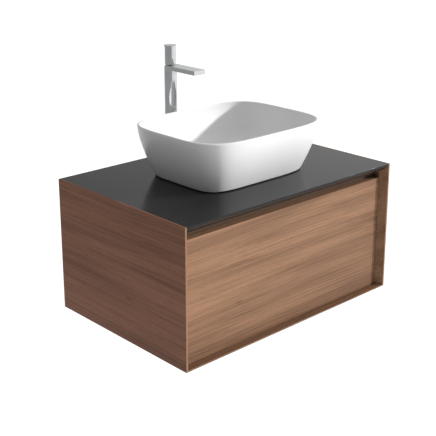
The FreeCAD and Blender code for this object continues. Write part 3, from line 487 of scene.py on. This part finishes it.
def basin_rings():
    """Rings of the basin from its waste hole up the inside, over the rim and down to its underside.
    Each is (half length, half width, power, height, share), where share 0 is the round hole."""
    low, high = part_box("vessel_basin")
    tall = high.z - low.z
    rim_x = (high.x - low.x) / 2
    rim_y = (high.y - low.y) / 2

    def outside(height):
        risen = height / tall
        share = 1 - (1 - risen) ** WALL_POWER
        half_x = rim_x * (FOOT_SHARE_X + (1 - FOOT_SHARE_X) * share)
        half_y = rim_y * (FOOT_SHARE_Y + (1 - FOOT_SHARE_Y) * share)
        return half_x, half_y, FOOT_POWER + (RIM_POWER - FOOT_POWER) * risen

    def ring(height, inset, blend=1.0, share=1.0):
        half_x, half_y, power = outside(height)
        return half_x - inset, half_y - inset, FLOOR_POWER + (power - FLOOR_POWER) * blend, height, share

    floor_inset = WALL + FLOOR_CURVE
    floor_x, floor_y, _ = outside(FLOOR)
    foot_x, foot_y, foot_power = outside(0.0)
    inner_start = FLOOR + FLOOR_CURVE
    inner_end = tall - RIM_ROUND
    rings = [ring(0.0, 0.0, share=0.0), ring(FLOOR - HOLE_EDGE, 0.0, share=0.0)]
    for step in range(FLOOR_RINGS + 1):
        share = CENTRE_SHARE + (1 - CENTRE_SHARE) * (step / FLOOR_RINGS) ** FLOOR_SPREAD
        rings.append((floor_x - floor_inset, floor_y - floor_inset, FLOOR_POWER, FLOOR, share))
    for turn in quarter_turn(CURVE_RINGS):
        risen = 1 - math.cos(turn)
        rings.append(ring(FLOOR + FLOOR_CURVE * risen, WALL + FLOOR_CURVE * (1 - math.sin(turn)), risen))
    for height in heights(inner_start, inner_end, INSIDE_RINGS):
        rings.append(ring(height, WALL))
    for turn in quarter_turn(RIM_RINGS):
        rings.append(ring(inner_end + RIM_ROUND * math.sin(turn), WALL - RIM_ROUND * (1 - math.cos(turn))))
    for turn in quarter_turn(RIM_RINGS, first=0):
        rings.append(ring(inner_end + RIM_ROUND * math.cos(turn), RIM_ROUND * (1 - math.sin(turn))))
    for height in heights(inner_end, FOOT_ROUND, OUTSIDE_RINGS):
        rings.append(ring(height, 0.0))
    for turn in quarter_turn(FOOT_RINGS):
        rings.append(ring(FOOT_ROUND * (1 - math.sin(turn)), FOOT_ROUND * (1 - math.cos(turn))))
    for step in range(1, UNDERSIDE_RINGS):
        share = 1 - step / UNDERSIDE_RINGS
        rings.append((foot_x - FOOT_ROUND, foot_y - FOOT_ROUND, foot_power, 0.0, share))
    return rings


def superellipse(turn, half_x, half_y, power):
    """Distance from the middle to the outline, in the direction of turn."""
    part_x = abs(math.cos(turn) / half_x) ** power
    part_y = abs(math.sin(turn) / half_y) ** power
    return (part_x + part_y) ** (-1 / power)


def vessel_basin():
    """Closed basin shell, with rounded rim and foot and a floor that curves into the walls."""
    low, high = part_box("vessel_basin")
    middle_x = (low.x + high.x) / 2
    middle_y = (low.y + high.y) / 2
    shape = bmesh.new()
    loops = []
    for half_x, half_y, power, height, share in basin_rings():
        loop = []
        for step in range(AROUND):
            turn = 2 * math.pi * step / AROUND
            radius = WASTE_HOLE + (superellipse(turn, half_x, half_y, power) - WASTE_HOLE) * share
            place = (middle_x + radius * math.cos(turn), middle_y + radius * math.sin(turn), low.z + height)
            loop.append(shape.verts.new(place))
        loops.append(loop)
    for inner, outer in zip(loops, loops[1:] + loops[:1]):
        for step in range(AROUND):
            after = (step + 1) % AROUND
            shape.faces.new((inner[step], inner[after], outer[after], outer[step]))
    bmesh.ops.recalc_face_normals(shape, faces=shape.faces)
    piece = add_piece(shape, "vessel_basin_glazed", "vessel_basin", MATERIALS["ceramic_white"])
    finer = piece.modifiers.new("finer", "SUBSURF")
    finer.levels = 1
    finer.render_levels = 1


# ---------------------------------------------------------------- cabinet, drawer and mixer

PANEL_ROUND = 0.5 * MM
TOP_ROUND = 0.15 * MM            # laminate edge, nearly sharp
LONG_EDGE = 6 * MM               # shorter edges, such as those of dowel holes, stay sharp
FRONTWARD = -0.9                 # a face's normal along y, when it faces the front
MIXER_ROUNDS = {
    "tap_column": 0.3 * MM,
    "spout": 0.35 * MM,
    "handle_knob": 0.3 * MM,
    "handle_cap": 0.2 * MM,
    "tap_base_ring": 0.6 * MM,
}


# picks the side panels' front edges, which get the lighter walnut: painted highlight
def faces_front(face):
    return face.normal.y < FRONTWARD


def cabinet():
    # the left panel gets the darker walnut copy, painted shade; the right keeps the front's colours
    for side, wood in (("left", walnut_left_painted_shade), ("right", walnut_right)):
        softened("side_panel_" + side, PANEL_ROUND, wood, LONG_EDGE, faces_front, walnut_edge_painted_highlight)
    softened("bottom_panel", PANEL_ROUND, MATERIALS["walnut"], LONG_EDGE)
    softened("front_rail", PANEL_ROUND, walnut_shaded, LONG_EDGE)
    softened("worktop", TOP_ROUND, MATERIALS["worktop_grey"], LONG_EDGE)
    for node in ("hanging_rail", "lower_rail"):
        softened(node, PANEL_ROUND, MATERIALS["carcass_board"], LONG_EDGE)


def drawer():
    softened("drawer_front", PANEL_ROUND, MATERIALS["walnut"], LONG_EDGE)
    for part in ("side_left", "side_right", "bottom", "back_left", "back_right", "recess_left",
                 "recess_right", "recess_front"):
        softened("drawer_" + part, PANEL_ROUND, MATERIALS["drawer_board"], LONG_EDGE)


def mixer():
    for node, width in MIXER_ROUNDS.items():
        softened(node, width, MATERIALS["chrome"])


def everything_else():
    """CAD nodes that keep their own mesh get their slot's material."""
    for name, node in frame["nodes"].items():
        if not node.hide_render:
            node.data.materials.clear()
            node.data.materials.append(MATERIALS[SLOT_OF[name]])


# ---------------------------------------------------------------- floor and light

FLOOR_DROP = 0.5                 # floor below the cabinet's underside
FLOOR_REACH = 30.0
# painted light: the floor glows and lights the cabinet from below
FLOOR_GLOW = 0.34
FLOOR_GREY = (0.88, 0.9)
DIM_TOWARDS = (-1.0, 0.0, 0.0)   # painted shade: the floor is darker and glows less at the left, out of the camera's sight
DIM_RANGE = (0.7, 1.8)
DIM_DEPTH = 0.43

KEY_AZIMUTH = 53.0               # right of the front
KEY_HEIGHT = 17.0                # above the level
KEY_STRENGTH = 3.3
KEY_SOFTNESS = 4.0

# Grey of the studio's walls, all the way round: 0 and 1 are the left, 0.25 is the front, 0.5 the right.
WALL_GREYS = [(0.0, 0.14), (0.13, 0.12), (0.2, 0.5), (0.375, 0.9), (0.5, 1.0), (0.61, 0.95), (0.66, 0.5),
              (0.75, 0.45), (0.88, 0.35), (1.0, 0.14)]
OVERHEAD_RANGE = (0.5, 0.8)      # upward part of the direction, where the walls fade into the ceiling
OVERHEAD_GREY = (0.6, 0.6, 0.6)


def floor():
    data = bpy.data.meshes.new("floor_mesh")
    level = CAD_BOX[0][2] - FLOOR_DROP
    corners = [(-FLOOR_REACH, -FLOOR_REACH, level), (FLOOR_REACH, -FLOOR_REACH, level),
               (FLOOR_REACH, FLOOR_REACH, level), (-FLOOR_REACH, FLOOR_REACH, level)]
    data.from_pydata(corners, [], [(0, 1, 2, 3)])
    pale = new_material("pale_floor", Roughness=0.9, Emission_Color=(*WHITE, 1.0))
    place = pale.place()
    aside = pale.vectors("DOT_PRODUCT", place, DIM_TOWARDS, output="Value")
    lit = pale.level(aside, *DIM_RANGE, 1.0, 0.0)
    cloud = pale.level(pale.noise(place, scale=2.0), *NOISE_RANGE, *FLOOR_GREY)
    # painted shade: the floor's grey darkens towards the left
    grey = pale.difference(cloud, pale.product(pale.difference(1.0, lit), DIM_DEPTH))
    pale.colour(pale.ramp(grey, [(0.0, BLACK), (1.0, WHITE)]))
    # painted light: the floor's glow, fading towards the left
    pale.feed(pale.surface, "Emission Strength", pale.product(lit, FLOOR_GLOW))
    data.materials.append(pale.owner)
    plane = bpy.data.objects.new("floor", data)
    bpy.context.scene.collection.objects.link(plane)


def key_light():
    lamp = bpy.data.lights.new("key", "SUN")
    lamp.energy = KEY_STRENGTH
    lamp.angle = math.radians(KEY_SOFTNESS)
    key = bpy.data.objects.new("key", lamp)
    azimuth = math.radians(KEY_AZIMUTH)
    height = math.radians(KEY_HEIGHT)
    level = math.cos(height)
    towards = Vector((math.sin(azimuth) * level, -math.cos(azimuth) * level, math.sin(height)))
    key.rotation_euler = towards.to_track_quat("Z", "Y").to_euler()
    bpy.context.scene.collection.objects.link(key)


def surroundings():
    """Studio round the object: bright at the right, grey at the back, dark at the left, light above."""
    world = bpy.data.worlds.new("studio")
    bpy.context.scene.world = world
    studio = Shader(world, "Background")
    direction = studio.place("Generated")
    compass = studio.add("ShaderNodeTexGradient", gradient_type="RADIAL")
    studio.feed(compass, "Vector", direction)
    stops = [(position, (grey, grey, grey)) for position, grey in WALL_GREYS]
    walls = studio.ramp(compass.outputs["Fac"], stops)
    parts = studio.add("ShaderNodeSeparateXYZ")
    studio.feed(parts, 0, direction)
    overhead = studio.level(parts.outputs["Z"], *OVERHEAD_RANGE)
    studio.feed(studio.surface, "Color", studio.mix(overhead, walls, OVERHEAD_GREY))


# ---------------------------------------------------------------- camera

CAMERA_PLACE = (-1.584, -1.897, 0.782)
CAMERA_AZIMUTH = -42.96
CAMERA_TILT = 16.64              # below the level
LENS = 79.0
SENSOR = 36.0
SHIFT_DOWN = 0.12


def camera():
    data = bpy.data.cameras.new("camera")
    data.lens = LENS
    data.sensor_width = SENSOR
    data.shift_y = -SHIFT_DOWN
    view = bpy.data.objects.new("camera", data)
    view.location = CAMERA_PLACE
    view.rotation_euler = (math.radians(90 - CAMERA_TILT), 0.0, math.radians(CAMERA_AZIMUTH))
    bpy.context.scene.collection.objects.link(view)
    bpy.context.scene.camera = view


camera()
floor()
key_light()
surroundings()
bpy.context.scene.view_settings.view_transform = "Standard"
cabinet()
drawer()
vessel_basin()
mixer()
everything_else()
